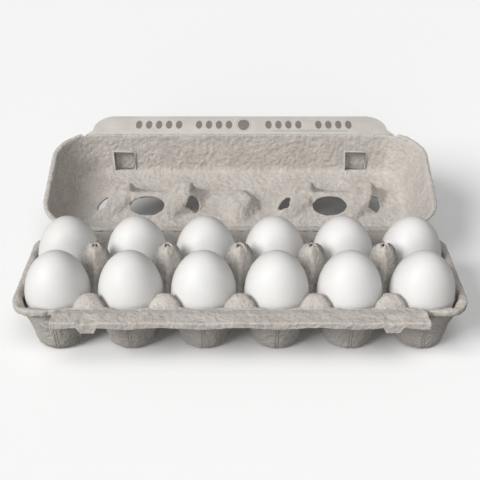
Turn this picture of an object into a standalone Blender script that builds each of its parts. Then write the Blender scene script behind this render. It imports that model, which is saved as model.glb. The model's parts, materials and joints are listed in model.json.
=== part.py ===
"""Moulded pulp carton for twelve eggs, lid thrown back, with its eggs.

Metres, +Z up.  The tray stands on its twelve cups, the lock flap faces -Y and
the lid opens towards +Y.  The middle of the whole is over the origin.
"""
import math

import bmesh
import bpy
from mathutils import Matrix, Vector

for stale in list(bpy.data.objects):
    bpy.data.objects.remove(stale, do_unlink=True)

MM = 0.001

# Eggs: large hen's eggs, standing blunt end down.
EGG_RADIUS = 21.8 * MM
EGG_HALF_LENGTH = 28.4 * MM
EGG_CENTRE_Z = 38.2 * MM
EGG_TAPER = 0.07
EGG_SEGMENTS = 14
EGG_RINGS = 8

# Tray: six columns and two rows of cups in one sheet of pulp.
COLUMNS = 6
ROWS = 2
PITCH_X = 48.6 * MM
PITCH_Y = 46.8 * MM
SHEET = 1.8 * MM
CUP_GRID = 8
RIM_Z = 38.5 * MM
SADDLE_Z = 29.0 * MM
CUP_PROFILE = (
    (0.0, 1.8), (12.6, 1.8), (14.6, 3.6), (15.8, 7.5), (16.8, 13.0), (17.6, 17.0), (18.3, 20.0),
    (19.9, 23.2), (21.6, 27.2), (22.9, 34.5), (23.7, 40.0), (24.6, 50.0), (25.6, 62.0), (90.0, 400.0),
)
CUP_RINGS = (0.0, 12.6, 15.8, 21.4)
CUP_EDGE_STEPS = (0.0, 0.40, 0.62, 0.80, 1.0)
POST_PROFILE = (
    (0.0, 59.0), (6.5, 59.0), (8.5, 57.0), (10.7, 46.0), (12.5, 36.0), (14.5, 29.0),
)
POST_HOLE_RADIUS = 1.8 * MM
POST_HOLE_LENGTH = 12.0 * MM
POST_TOP_Z = 59.0 * MM
HUMP_Y = 39.0 * MM
HUMP_HALF_X = 10.5 * MM
HUMP_HALF_Y = 7.5 * MM
HUMP_RISE = 7.0 * MM
END_HUMP_X = 134.5 * MM
END_HUMP_HALF_X = 8.5 * MM
END_HUMP_HALF_Y = 10.5 * MM
END_HUMP_RISE = 7.0 * MM
RIM_WIDTH = 2.5 * MM
RIM_SLOPE = 1.4
TRAY_CORNER = 14.0 * MM
FLANGE = 3.85 * MM
FRONT_FLANGE = 1.6 * MM
FRONT_FLANGE_HALF_X = 122.5 * MM
REAR_FLANGE = 8.2 * MM
REAR_FLANGE_HALF_X = 126.0 * MM
LIP_DROP = 4.0 * MM
LIP_LEAN = 0.8

# Lid, measured as if shut; it is turned back by LID_OPEN at the end.
LID_AXIS_Y = 55.4 * MM
LID_AXIS_Z = 38.75 * MM
LID_OPEN = math.radians(161.0)
LID_RIM_Z = 39.0 * MM
LID_DEPTH = 32.6 * MM
PANEL_HALF_X = 128.5 * MM
PANEL_HALF_Y = 38.0 * MM
PANEL_CORNER = 14.0 * MM
PANEL_LINES_X = (0.0, 8.1, 15.9, 28.4, 40.0, 56.9, 72.9, 88.9, 105.8, 111.6, 117.4, 121.5, 128.5)
PANEL_LINES_Y = (0.0, 5.0, 7.0, 14.0, 17.0, 25.0, 31.0, 38.0)
LID_INNER = ((2.6, 2.2, -0.8), (4.6, 4.0, -3.4), (18.1, 13.3, -32.6), (21.7, 15.3, -32.6))
LID_OUTER = ((3.2, 2.8, 0.9), (6.3, 5.7, -2.6), (19.9, 15.1, -30.8), (21.7, 15.3, -30.8))
HINGE_STRIP = 1.7 * MM
FRONT_RAISE = 2.1 * MM
FRONT_RAISE_LEAN = 0.33
FRONT_RAISE_HALF_X = 126.0 * MM

# Hollow bosses that reach from the lid down to the posts of the tray.
BOSS_X = 1.5 * PITCH_X
BOSS_HALF_X = 44.5 * MM
BOSS_HALF_Y = 17.0 * MM
BOSS_DEPTH = 12.0 * MM
BOSS_END_RUN = 11.5 * MM
BOSS_SIDE_RUN = 12.0 * MM
BOSS_SADDLE_HALF_X = 16.0 * MM
BOSS_SADDLE_DROP = 1.2 * MM
BUMP_HALF_X = 15.9 * MM
BUMP_HALF_Y = 14.0 * MM
BUMP_DEPTH = 9.5 * MM
BUMP_RUN_X = 7.8 * MM
BUMP_RUN_Y = 7.0 * MM
OVAL_HALF_X = 14.3 * MM
OVAL_HALF_Z = 3.2 * MM
OVAL_DEPTH = 5.9 * MM
END_OVAL_HALF_Y = 5.5 * MM

# Latch windows in the front wall of the lid, and the printed front strip.
WINDOW_X = 96.0 * MM
WINDOW_WIDTH = 16.4 * MM
WINDOW_LOW_Z = 52.4 * MM
WINDOW_HIGH_Z = 68.4 * MM
WINDOW_OUT_Y = -56.0 * MM
WINDOW_IN_Y = -40.0 * MM
STRIP_REAR_Y = -52.0 * MM
STRIP_FRONT_Y = -75.4 * MM
STRIP_REAR_HALF_X = 125.0 * MM
STRIP_FRONT_HALF_X = 116.0 * MM
STRIP_CORNER = 13.0 * MM
STRIP_LOW_Z = 41.1 * MM
STRIP_THICKNESS = 1.7 * MM

# Lock flap along the front rim, with two buttons for the latch windows.
FLAP_AXIS_Y = -48.8 * MM
FLAP_AXIS_Z = 39.1 * MM
FLAP_HALF_X = 119.3 * MM
FLAP_NEAR_Y = -49.15 * MM
FLAP_FAR_Y = -64.8 * MM
FLAP_SHEET = 1.6 * MM
FLAP_LIP_DROP = 1.2 * MM
FLAP_SCALLOP = 0.5 * MM
FLAP_STEPS = 48
BUTTON_BASE = 12.7 * MM
BUTTON_TIP = 8.6 * MM
BUTTON_DROP = 6.9 * MM
BUTTON_SHEET = 2.2 * MM

HALF_TRAY_X = PITCH_X * COLUMNS / 2
HALF_TRAY_Y = PITCH_Y * ROWS / 2


def material(name, colour, roughness):
    """A plain coloured Principled material."""
    made = bpy.data.materials.new(name)
    made.use_nodes = True
    shader = made.node_tree.nodes["Principled BSDF"]
    shader.inputs["Base Color"].default_value = (*colour, 1.0)
    shader.inputs["Roughness"].default_value = roughness
    made.diffuse_color = (*colour, 1.0)
    return made


def interpolate(table, value):
    """Read a table of (distance mm, height mm) pairs at a distance in metres."""
    reach = value / MM
    for (x0, y0), (x1, y1) in zip(table, table[1:]):
        if reach <= x1:
            return (y0 + (y1 - y0) * (reach - x0) / (x1 - x0)) * MM
    return table[-1][1] * MM


def to_arc(dx, dy):
    """Turn a place in a square corner zone into its place in a quarter disc."""
    reach = max(dx, dy)
    if reach <= 0.0:
        return dx, dy
    if dx >= dy:
        angle = math.pi / 4 * dy / dx
    else:
        angle = math.pi / 2 - math.pi / 4 * dx / dy
    return reach * math.cos(angle), reach * math.sin(angle)


def round_corner(x, y, half_x, half_y, radius):
    """Pull the corners of a rectangle half_x by half_y in to a radius."""
    dx = abs(x) - (half_x - radius)
    dy = abs(y) - (half_y - radius)
    if dx <= 0.0 or dy <= 0.0:
        return x, y
    dx, dy = to_arc(dx, dy)
    return math.copysign(half_x - radius + dx, x), math.copysign(half_y - radius + dy, y)


def outward(x, y, half_x, half_y, radius):
    """Outward direction at a place on the outline of a rounded rectangle."""
    dx = max(0.0, abs(x) - (half_x - radius))
    dy = max(0.0, abs(y) - (half_y - radius))
    if dx > 0.0 and dy > 0.0:
        length = math.hypot(dx, dy)
        return math.copysign(dx / length, x), math.copysign(dy / length, y)
    if half_x - abs(x) < half_y - abs(y):
        return math.copysign(1.0, x), 0.0
    return 0.0, math.copysign(1.0, y)


def dome(dx, dy, half_x, half_y, rise):
    """Height of a rounded hump above the rim, or nothing beyond its foot."""
    inside = 1.0 - (dx / half_x) ** 2 - (dy / half_y) ** 2
    if inside <= 0.0:
        return 0.0
    return RIM_Z + rise * math.sqrt(inside)


def tray_height(x, y):
    """Height of the upper face of the tray's sheet."""
    column = min(COLUMNS - 1, max(0, math.floor(x / PITCH_X + COLUMNS / 2)))
    cup_x = (column - (COLUMNS - 1) / 2) * PITCH_X
    cup_y = math.copysign(PITCH_Y / 2, y)
    bowl = interpolate(CUP_PROFILE, math.hypot(x - cup_x, y - cup_y))
    inset = min(HALF_TRAY_X - abs(x), HALF_TRAY_Y - abs(y))
    cover = max(SADDLE_Z, min(RIM_Z, RIM_Z - (inset - RIM_WIDTH) * RIM_SLOPE))
    gap = min(COLUMNS // 2 - 1, max(1 - COLUMNS // 2, round(x / PITCH_X)))
    post_x = x - gap * PITCH_X
    cover = max(cover, interpolate(POST_PROFILE, abs(post_x) + abs(y)))
    cover = max(cover, dome(post_x, abs(y) - HUMP_Y, HUMP_HALF_X, HUMP_HALF_Y, HUMP_RISE))
    cover = max(cover, dome(abs(x) - END_HUMP_X, y, END_HUMP_HALF_X, END_HUMP_HALF_Y, END_HUMP_RISE))
    return min(bowl, cover)


def offset_height(height, x, y, thickness, side):
    """Height of the other face of a sheet lying on one side of height(x, y)."""
    best = height(x, y) + side * thickness
    for reach in (0.5, 0.8, 0.95):
        lift = side * thickness * math.sqrt(1.0 - reach * reach)
        for step in range(12):
            angle = math.tau * step / 12
            away_x = x + reach * thickness * math.cos(angle)
            away_y = y + reach * thickness * math.sin(angle)
            other = height(away_x, away_y) + lift
            best = max(best, other) if side > 0 else min(best, other)
    return best


def boundary_edges(mesh):
    """Edges that have a face on one side only."""
    return [edge for edge in mesh.edges if edge.is_boundary]


def new_sheet():
    """A mesh whose vertices also hold their partner on the sheet's other face."""
    sheet = bmesh.new()
    sheet.verts.layers.float_vector.new("partner")
    sheet.verts.layers.float_vector.new("seat")
    return sheet


def extend(sheet, place):
    """Grow a ring of faces off the open boundary; place(seat) gives both its faces."""
    partner = sheet.verts.layers.float_vector["partner"]
    seat = sheet.verts.layers.float_vector["seat"]
    grown = bmesh.ops.extrude_edge_only(sheet, edges=boundary_edges(sheet))
    for item in grown["geom"]:
        if isinstance(item, bmesh.types.BMVert):
            item.co, item[partner] = place(item[seat])


def close_sheet(sheet):
    """Add the partner face of a sheet and join the two round the boundary."""
    partner = sheet.verts.layers.float_vector["partner"]
    rims = boundary_edges(sheet)
    copied = bmesh.ops.duplicate(sheet, geom=sheet.verts[:] + sheet.edges[:] + sheet.faces[:])
    other = copied["vert_map"]
    twins = [item for item in copied["geom"] if isinstance(item, bmesh.types.BMVert)]
    for edge in rims:
        first, second = edge.verts
        sheet.faces.new((first, second, other[second], other[first]))
    for twin in twins:
        twin.co = twin[partner]
    bmesh.ops.triangulate(sheet, faces=sheet.faces[:])
    bmesh.ops.recalc_face_normals(sheet, faces=sheet.faces[:])
    return sheet


def finish(name, mesh, look, origin=Vector((0.0, 0.0, 0.0)), smooth=False):
    """Make a named object of a bmesh, with its origin where asked."""
    bmesh.ops.translate(mesh, verts=mesh.verts[:], vec=-origin)
    data = bpy.data.meshes.new(name)
    mesh.to_mesh(data)
    mesh.free()
    made = bpy.data.objects.new(name, data)
    made.location = origin
    bpy.context.collection.objects.link(made)
    data.materials.append(look)
    data.polygons.foreach_set("use_smooth", [smooth] * len(data.polygons))
    return made


def tool(mesh):
    """A throwaway object for a Boolean."""
    data = bpy.data.meshes.new("tool")
    mesh.to_mesh(data)
    mesh.free()
    made = bpy.data.objects.new("tool", data)
    bpy.context.collection.objects.link(made)
    return made


def combine(target, cutters, operation):
    """Apply exact Booleans to the target's mesh and remove the tools."""
    for cutter in cutters:
        change = target.modifiers.new("cut", "BOOLEAN")
        change.operation = operation
        change.solver = "EXACT"
        change.object = cutter
        graph = bpy.context.evaluated_depsgraph_get()
        result = bpy.data.meshes.new_from_object(target.evaluated_get(graph))
        target.modifiers.clear()
        target.data = result
        bpy.data.objects.remove(cutter, do_unlink=True)
    tidy = bmesh.new()
    tidy.from_mesh(target.data)
    bmesh.ops.remove_doubles(tidy, verts=tidy.verts[:], dist=0.00001)
    bmesh.ops.triangulate(tidy, faces=tidy.faces[:])
    bmesh.ops.recalc_face_normals(tidy, faces=tidy.faces[:])
    tidy.to_mesh(target.data)
    tidy.free()


def cup_place(u, v, centre_x, centre_y):
    """Place of a grid vertex (u, v in -1..1) of one cup's patch of the tray."""
    steps = CUP_GRID // 2
    ring = round(max(abs(u), abs(v)) * steps)
    if ring == steps:
        side_u = math.copysign(CUP_EDGE_STEPS[round(abs(u) * steps)], u)
        side_v = math.copysign(CUP_EDGE_STEPS[round(abs(v) * steps)], v)
        x = centre_x + side_u * PITCH_X / 2
        y = centre_y + side_v * PITCH_Y / 2
        return round_corner(x, y, HALF_TRAY_X, HALF_TRAY_Y, TRAY_CORNER)
    dx, dy = to_arc(abs(u), abs(v))
    size = max(abs(u), abs(v))
    if ring == 0:
        return centre_x, centre_y
    radius = CUP_RINGS[ring] * MM
    x = centre_x + math.copysign(dx / size * radius, u)
    y = centre_y + math.copysign(dy / size * radius, v)
    return x, y


def tray_under(x, y):
    """Height of the lower face of the tray's sheet."""
    return offset_height(tray_height, x, y, SHEET, -1)


def tray_flange(seat):
    """Both faces of the flange's outer edge, outward of a place on the cups' edge."""
    way_x, way_y = outward(seat.x, seat.y, HALF_TRAY_X, HALF_TRAY_Y, TRAY_CORNER)
    width = FLANGE
    if way_y < -0.9 and abs(seat.x) < FRONT_FLANGE_HALF_X:
        width = FRONT_FLANGE
    if way_y > 0.9 and abs(seat.x) < REAR_FLANGE_HALF_X:
        width = REAR_FLANGE
    way = Vector((way_x, way_y, 0.0))
    upper = Vector((seat.x, seat.y, RIM_Z)) + way * width
    return upper, upper - way * SHEET * LIP_LEAN - Vector((0.0, 0.0, SHEET))


def tray_lip(seat):
    """Both faces of the lip's lower edge."""
    upper, lower = tray_flange(seat)
    upper.z = lower.z = RIM_Z - LIP_DROP
    return upper, lower


def tray_sheet():
    """The tray's upper face with its partner, flange and lip."""
    sheet = new_sheet()
    partner = sheet.verts.layers.float_vector["partner"]
    seat = sheet.verts.layers.float_vector["seat"]
    for column in range(COLUMNS):
        for row in range(ROWS):
            centre_x = (column - (COLUMNS - 1) / 2) * PITCH_X
            centre_y = (row - (ROWS - 1) / 2) * PITCH_Y
            made = bmesh.ops.create_grid(sheet, x_segments=CUP_GRID, y_segments=CUP_GRID, size=1.0)
            for vert in made["verts"]:
                x, y = cup_place(vert.co.x, vert.co.y, centre_x, centre_y)
                vert.co = Vector((x, y, tray_height(x, y)))
                vert[partner] = Vector((x, y, tray_under(x, y)))
                vert[seat] = Vector((x, y, 0.0))
    bmesh.ops.remove_doubles(sheet, verts=sheet.verts[:], dist=0.0001)
    extend(sheet, tray_flange)
    extend(sheet, tray_lip)
    return sheet


def build_tray(look):
    """The tray: one sheet with twelve cups, posts, humps and a flange."""
    tray = finish("tray", close_sheet(tray_sheet()), look)
    holes = []
    for gap in range(1 - COLUMNS // 2, COLUMNS // 2):
        hole = bmesh.new()
        bmesh.ops.create_cone(
            hole, cap_ends=True, segments=8, radius1=POST_HOLE_RADIUS, radius2=POST_HOLE_RADIUS,
            depth=POST_HOLE_LENGTH, matrix=Matrix.Translation((gap * PITCH_X, 0.0, POST_TOP_Z)))
        holes.append(tool(hole))
    combine(tray, holes, "DIFFERENCE")
    return tray


def boss_depth(x, y):
    """How far the bosses stand out of the lid's panel at a place."""
    along = abs(abs(x) - BOSS_X)
    top = BOSS_DEPTH
    if along < BOSS_SADDLE_HALF_X:
        top -= BOSS_SADDLE_DROP
    boss = BOSS_DEPTH * min((BOSS_HALF_X - along) / BOSS_END_RUN, (BOSS_HALF_Y - abs(y)) / BOSS_SIDE_RUN)
    bump = BUMP_DEPTH * min(1.0, (BUMP_HALF_X - abs(x)) / BUMP_RUN_X, (BUMP_HALF_Y - abs(y)) / BUMP_RUN_Y)
    return max(0.0, min(top, boss), bump)


def panel_height(x, y):
    """Height of the inner face of the shut lid's panel."""
    return LID_RIM_Z + LID_DEPTH - boss_depth(x, y)


def lid_place(index):
    """Placing rule for one ring of the lid's walls and flange."""
    def place(seat):
        way_x, way_y = outward(seat.x, seat.y, PANEL_HALF_X, PANEL_HALF_Y, PANEL_CORNER)
        raised = index >= 2 and way_y < -0.9 and abs(seat.x) < FRONT_RAISE_HALF_X
        faces = []
        for out_x, out_y, drop in (LID_INNER[index], LID_OUTER[index]):
            level = LID_RIM_Z + LID_DEPTH + drop * MM
            reach_y = out_y * MM
            if raised:
                level += FRONT_RAISE
            if raised and index == 2:
                reach_y -= FRONT_RAISE_LEAN * FRONT_RAISE
            if index == 3 and way_y > 0.9:
                reach_y += HINGE_STRIP
            faces.append(Vector((seat.x + way_x * out_x * MM, seat.y + way_y * reach_y, level)))
        return faces
    return place


def lid_sheet():
    """The shut lid's inner face with its partner: panel, walls and flange."""
    sheet = new_sheet()
    partner = sheet.verts.layers.float_vector["partner"]
    seat = sheet.verts.layers.float_vector["seat"]
    lines_x = [-line for line in PANEL_LINES_X[:0:-1]] + list(PANEL_LINES_X)
    lines_y = [-line for line in PANEL_LINES_Y[:0:-1]] + list(PANEL_LINES_Y)
    count_x = len(lines_x) - 1
    count_y = len(lines_y) - 1
    bmesh.ops.create_grid(sheet, x_segments=count_x, y_segments=count_y, size=1.0)
    for vert in sheet.verts:
        x = lines_x[round((vert.co.x + 1) / 2 * count_x)] * MM
        y = lines_y[round((vert.co.y + 1) / 2 * count_y)] * MM
        x, y = round_corner(x, y, PANEL_HALF_X, PANEL_HALF_Y, PANEL_CORNER)
        vert.co = Vector((x, y, panel_height(x, y)))
        vert[partner] = Vector((x, y, offset_height(panel_height, x, y, SHEET, 1)))
        vert[seat] = Vector((x, y, 0.0))
    for index in range(len(LID_INNER)):
        extend(sheet, lid_place(index))
    return sheet


def oval(centre, half_a, half_z, length, along_x):
    """An elliptic cylinder lying along X or along Y, to cut a hole with."""
    made = bmesh.new()
    turn = Matrix.Rotation(math.pi / 2, 4, "Y" if along_x else "X")
    bmesh.ops.create_cone(made, cap_ends=True, segments=16, radius1=1.0, radius2=1.0, depth=length)
    bmesh.ops.transform(made, matrix=turn, verts=made.verts[:])
    scale = Vector((1.0, half_a, half_z)) if along_x else Vector((half_a, 1.0, half_z))
    bmesh.ops.scale(made, vec=scale, verts=made.verts[:])
    bmesh.ops.translate(made, vec=centre, verts=made.verts[:])
    return tool(made)


def block(low, high):
    """A box between two corners, as a cutting tool."""
    made = bmesh.new()
    bmesh.ops.create_cube(made, size=1.0)
    bmesh.ops.scale(made, vec=high - low, verts=made.verts[:])
    bmesh.ops.translate(made, vec=(low + high) / 2, verts=made.verts[:])
    return tool(made)


def front_strip():
    """The flat printed strip that stands out of the lid's front rim."""
    made = bmesh.new()
    outline = [(-STRIP_REAR_HALF_X, STRIP_REAR_Y)]
    for turn in range(5):
        angle = math.pi + math.pi / 2 * turn / 4
        outline.append((-STRIP_FRONT_HALF_X + STRIP_CORNER * (1 + math.cos(angle)),
                        STRIP_FRONT_Y + STRIP_CORNER * (1 + math.sin(angle))))
    outline += [(-x, y) for x, y in reversed(outline)]
    verts = [made.verts.new((x, y, STRIP_LOW_Z)) for x, y in outline]
    sole = made.faces.new(verts)
    grown = bmesh.ops.extrude_face_region(made, geom=[sole])
    lifted = [item for item in grown["geom"] if isinstance(item, bmesh.types.BMVert)]
    bmesh.ops.translate(made, vec=Vector((0.0, 0.0, STRIP_THICKNESS)), verts=lifted)
    bmesh.ops.recalc_face_normals(made, faces=made.faces[:])
    return tool(made)


def build_lid(look):
    """The lid, modelled shut, cut, then turned back about its hinge."""
    lid = finish("lid", close_sheet(lid_sheet()), look)
    combine(lid, [front_strip()], "UNION")
    level = LID_RIM_Z + LID_DEPTH - OVAL_DEPTH
    cutters = []
    for side in (-1, 1):
        cutters.append(oval(Vector((side * BOSS_X, 0.0, level)), OVAL_HALF_X, OVAL_HALF_Z,
                            2.2 * BOSS_HALF_Y, False))
        for end in (-1, 1):
            x = side * BOSS_X + end * (BOSS_HALF_X - BOSS_END_RUN / 2)
            cutters.append(oval(Vector((x, 0.0, level)), END_OVAL_HALF_Y, OVAL_HALF_Z,
                                1.3 * BOSS_END_RUN, True))
        x = side * WINDOW_X
        cutters.append(block(Vector((x - WINDOW_WIDTH / 2, WINDOW_OUT_Y, WINDOW_LOW_Z)),
                             Vector((x + WINDOW_WIDTH / 2, WINDOW_IN_Y, WINDOW_HIGH_Z))))
    combine(lid, cutters, "DIFFERENCE")
    axis = Vector((0.0, LID_AXIS_Y, LID_AXIS_Z))
    for vert in lid.data.vertices:
        vert.co = Matrix.Rotation(-LID_OPEN, 3, "X") @ (vert.co - axis)
    lid.location = axis
    return lid


def build_flap(look):
    """The lock flap: a plate with a scalloped lip and two buttons."""
    made = bmesh.new()
    low = FLAP_AXIS_Z
    high = low + FLAP_SHEET
    inner = FLAP_FAR_Y + FLAP_SHEET
    rings = []
    for step in range(FLAP_STEPS + 1):
        x = (2 * step / FLAP_STEPS - 1) * FLAP_HALF_X
        swell = 0.5 + 0.5 * math.cos(math.tau * (x / PITCH_X - 0.5))
        hem = low - FLAP_LIP_DROP - FLAP_SCALLOP * swell
        section = ((FLAP_NEAR_Y, low), (inner, low), (inner, hem), (FLAP_FAR_Y, hem),
                   (FLAP_FAR_Y, high - 0.6 * MM), (FLAP_FAR_Y + 0.7 * MM, high), (FLAP_NEAR_Y, high))
        rings.append([made.verts.new((x, y, z)) for y, z in section])
    for first, second in zip(rings, rings[1:]):
        for index in range(len(first)):
            after = (index + 1) % len(first)
            made.faces.new((first[index], first[after], second[after], second[index]))
    made.faces.new(rings[0])
    made.faces.new(rings[-1])
    bmesh.ops.recalc_face_normals(made, faces=made.faces[:])
    origin = Vector((0.0, FLAP_AXIS_Y, FLAP_AXIS_Z))
    flap = finish("lock_flap", made, look)
    buttons = []
    for side in (-1, 1):
        button = bmesh.new()
        bmesh.ops.create_cube(button, size=1.0)
        top = high - 0.5 * MM
        foot = low - BUTTON_DROP
        for vert in button.verts:
            half = BUTTON_BASE if vert.co.z > 0 else BUTTON_TIP
            x = side * WINDOW_X + vert.co.x * half
            y = FLAP_FAR_Y + 0.4 * MM + (vert.co.y + 0.5) * BUTTON_SHEET
            vert.co = Vector((x, y, top if vert.co.z > 0 else foot))
        buttons.append(tool(button))
    combine(flap, buttons, "UNION")
    for vert in flap.data.vertices:
        vert.co = vert.co - origin
    flap.location = origin
    return flap


def build_egg(name, x, y, look):
    """One egg, blunt end down."""
    made = bmesh.new()
    bmesh.ops.create_uvsphere(made, u_segments=EGG_SEGMENTS, v_segments=EGG_RINGS, radius=1.0)
    for vert in made.verts:
        girth = EGG_RADIUS * (1.0 - EGG_TAPER * vert.co.z)
        vert.co = Vector((vert.co.x * girth, vert.co.y * girth, vert.co.z * EGG_HALF_LENGTH))
    bmesh.ops.triangulate(made, faces=made.faces[:])
    bmesh.ops.translate(made, vec=Vector((x, y, EGG_CENTRE_Z)), verts=made.verts[:])
    return finish(name, made, look, origin=Vector((x, y, EGG_CENTRE_Z)), smooth=True)


def centre_on_origin(objects):
    """Move everything together so the middle of its box is over the origin."""
    corners = [part.matrix_world @ vert.co for part in objects for vert in part.data.vertices]
    middle_y = (min(spot.y for spot in corners) + max(spot.y for spot in corners)) / 2
    lowest = min(spot.z for spot in corners)
    for part in objects:
        part.location -= Vector((0.0, middle_y, lowest))


pulp = material("pulp", (0.42, 0.38, 0.33), 0.95)
shell_white = material("egg_shell", (0.86, 0.85, 0.82), 0.55)

pieces = [build_tray(pulp), build_lid(pulp), build_flap(pulp)]
for row, row_name in enumerate(("front", "rear")):
    for column in range(COLUMNS):
        egg_x = (column - (COLUMNS - 1) / 2) * PITCH_X
        egg_y = (row - (ROWS - 1) / 2) * PITCH_Y
        pieces.append(build_egg(f"egg_{row_name}_{column + 1}", egg_x, egg_y, shell_white))
bpy.context.view_layer.update()
centre_on_origin(pieces)
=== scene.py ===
import json
import logging
import math
from dataclasses import dataclass
from enum import Enum
from typing import Callable, Iterable

import bmesh
import bpy
from mathutils import Matrix, Vector, noise


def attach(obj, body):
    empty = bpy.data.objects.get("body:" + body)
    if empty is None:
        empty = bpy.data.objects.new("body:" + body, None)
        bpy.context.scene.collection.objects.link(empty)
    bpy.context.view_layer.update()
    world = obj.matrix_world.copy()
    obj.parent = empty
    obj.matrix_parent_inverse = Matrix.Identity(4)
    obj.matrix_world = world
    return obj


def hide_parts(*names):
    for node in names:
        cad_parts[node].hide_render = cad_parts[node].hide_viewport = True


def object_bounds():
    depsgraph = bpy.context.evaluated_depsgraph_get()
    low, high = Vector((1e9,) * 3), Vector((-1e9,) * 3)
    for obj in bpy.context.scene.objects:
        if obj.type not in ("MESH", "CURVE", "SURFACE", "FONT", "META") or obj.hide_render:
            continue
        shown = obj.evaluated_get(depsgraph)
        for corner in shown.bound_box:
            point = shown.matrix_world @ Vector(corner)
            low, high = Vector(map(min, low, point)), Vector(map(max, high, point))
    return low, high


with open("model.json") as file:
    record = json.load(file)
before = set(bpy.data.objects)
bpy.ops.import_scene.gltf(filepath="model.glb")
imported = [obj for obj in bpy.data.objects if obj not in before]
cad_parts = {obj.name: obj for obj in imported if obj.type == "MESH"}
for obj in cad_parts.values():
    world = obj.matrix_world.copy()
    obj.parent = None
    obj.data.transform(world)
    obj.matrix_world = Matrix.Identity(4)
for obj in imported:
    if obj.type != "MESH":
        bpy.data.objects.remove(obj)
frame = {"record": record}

LOG = logging.getLogger("egg_carton")
MM = 0.001
FACING = 0.9
REAR_CREASE_HALF = 127.5 * MM
FRONT_CREASE_HALF = 119.0 * MM
START_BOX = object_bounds()


class Body(Enum):
    """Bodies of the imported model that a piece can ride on."""

    TRAY = "tray"
    LID = "lid"
    FLAP = "lock_flap"


class Slot(Enum):
    """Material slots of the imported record."""

    PULP = "pulp"
    SHELL = "egg_shell"


def joint(name: str) -> dict:
    """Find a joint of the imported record.

    Args:
        name: The joint's name.

    Returns:
        The joint's entry.
    """
    joints = frame["record"]["behaviour"]["joints"]
    return next(entry for entry in joints if entry["name"] == name)


# --------------------------------------------------------------------------- shader maths


class Signal:
    """A shader socket that takes part in Python expressions."""

    def __init__(self, recipe: "Recipe", socket: bpy.types.NodeSocket) -> None:
        """Hold a socket and the recipe it belongs to."""
        self.recipe = recipe
        self.socket = socket

    def _math(self, operation: str, *values: object, clamp: bool = False) -> "Signal":
        """Add one Math node.

        Args:
            operation: The node's operation.
            values: Its inputs in order.
            clamp: Whether the result is held between 0 and 1.

        Returns:
            The node's result.
        """
        settings = {"operation": operation, "use_clamp": clamp}
        return self.recipe.node("ShaderNodeMath", settings, dict(enumerate(values)))

    def __add__(self, other: object) -> "Signal":
        """Sum."""
        return self._math("ADD", self, other)

    def __radd__(self, other: object) -> "Signal":
        """Sum, reflected."""
        return self._math("ADD", other, self)

    def __sub__(self, other: object) -> "Signal":
        """Difference."""
        return self._math("SUBTRACT", self, other)

    def __rsub__(self, other: object) -> "Signal":
        """Difference, reflected."""
        return self._math("SUBTRACT", other, self)

    def __mul__(self, other: object) -> "Signal":
        """Product."""
        return self._math("MULTIPLY", self, other)

    def __rmul__(self, other: object) -> "Signal":
        """Product, reflected."""
        return self._math("MULTIPLY", other, self)

    def __truediv__(self, other: object) -> "Signal":
        """Quotient."""
        return self._math("DIVIDE", self, other)

    def __lt__(self, other: object) -> "Signal":
        """One where this is the smaller."""
        return self._math("LESS_THAN", self, other)

    def __gt__(self, other: object) -> "Signal":
        """One where this is the greater."""
        return self._math("GREATER_THAN", self, other)

    def __abs__(self) -> "Signal":
        """Size without its sign."""
        return self._math("ABSOLUTE", self)

    def fraction(self) -> "Signal":
        """Part after the decimal point."""
        return self._math("FRACT", self)

    def most(self, other: object) -> "Signal":
        """Greater of two."""
        return self._math("MAXIMUM", self, other)

    def held(self) -> "Signal":
        """Value held between 0 and 1."""
        return self._math("ADD", self, 0.0, clamp=True)

    def ramp(self, low: float, high: float) -> "Signal":
        """Go from 0 at low to 1 at high, and stay there beyond.

        Args:
            low: Value that gives 0.
            high: Value that gives 1.

        Returns:
            The mapped value.
        """
        return ((self - low) / (high - low)).held()


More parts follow.
